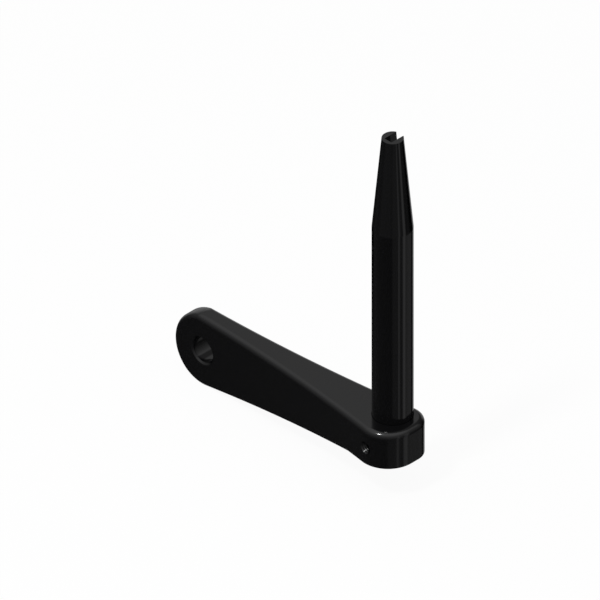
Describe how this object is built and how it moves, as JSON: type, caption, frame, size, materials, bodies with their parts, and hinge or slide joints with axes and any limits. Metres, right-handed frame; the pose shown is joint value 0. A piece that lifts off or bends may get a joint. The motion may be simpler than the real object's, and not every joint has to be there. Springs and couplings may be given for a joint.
{
  "type": "aero spoke holder",
  "caption": "Hand tool that keeps a bladed spoke from twisting: a round rod with a slotted, tapered tip stands in the head of a flat flared arm and is held by a set screw.",
  "frame": {"origin": "on the head's flat underside, on the rod's axis", "axes": "+Z along the rod towards its slotted tip, -X along the arm towards its hanging hole, -Y out of the head on the set screw's side"},
  "size_m": [0.0461, 0.0092, 0.0593],
  "materials": {
    "black_anodised": "black anodised, satin",
    "blackened_steel": "blackened, polished",
    "screw_steel": "black oxide"
  },
  "bodies": {
    "handle": {"handle": "black_anodised"},
    "rod": {"rod": "blackened_steel"},
    "set_screw": {"set_screw": "screw_steel"}
  },
  "joints": [
    {"name": "rod_turn", "type": "hinge", "parent": "handle", "child": "rod", "pos_m": [0, 0, 0.0059], "axis": [0, 0, 1], "continuous": true},
    {"name": "screw_travel", "type": "slide", "parent": "handle", "child": "set_screw", "axis": [0, -1, 0], "range_m": [0, 0.002]}
  ]
}
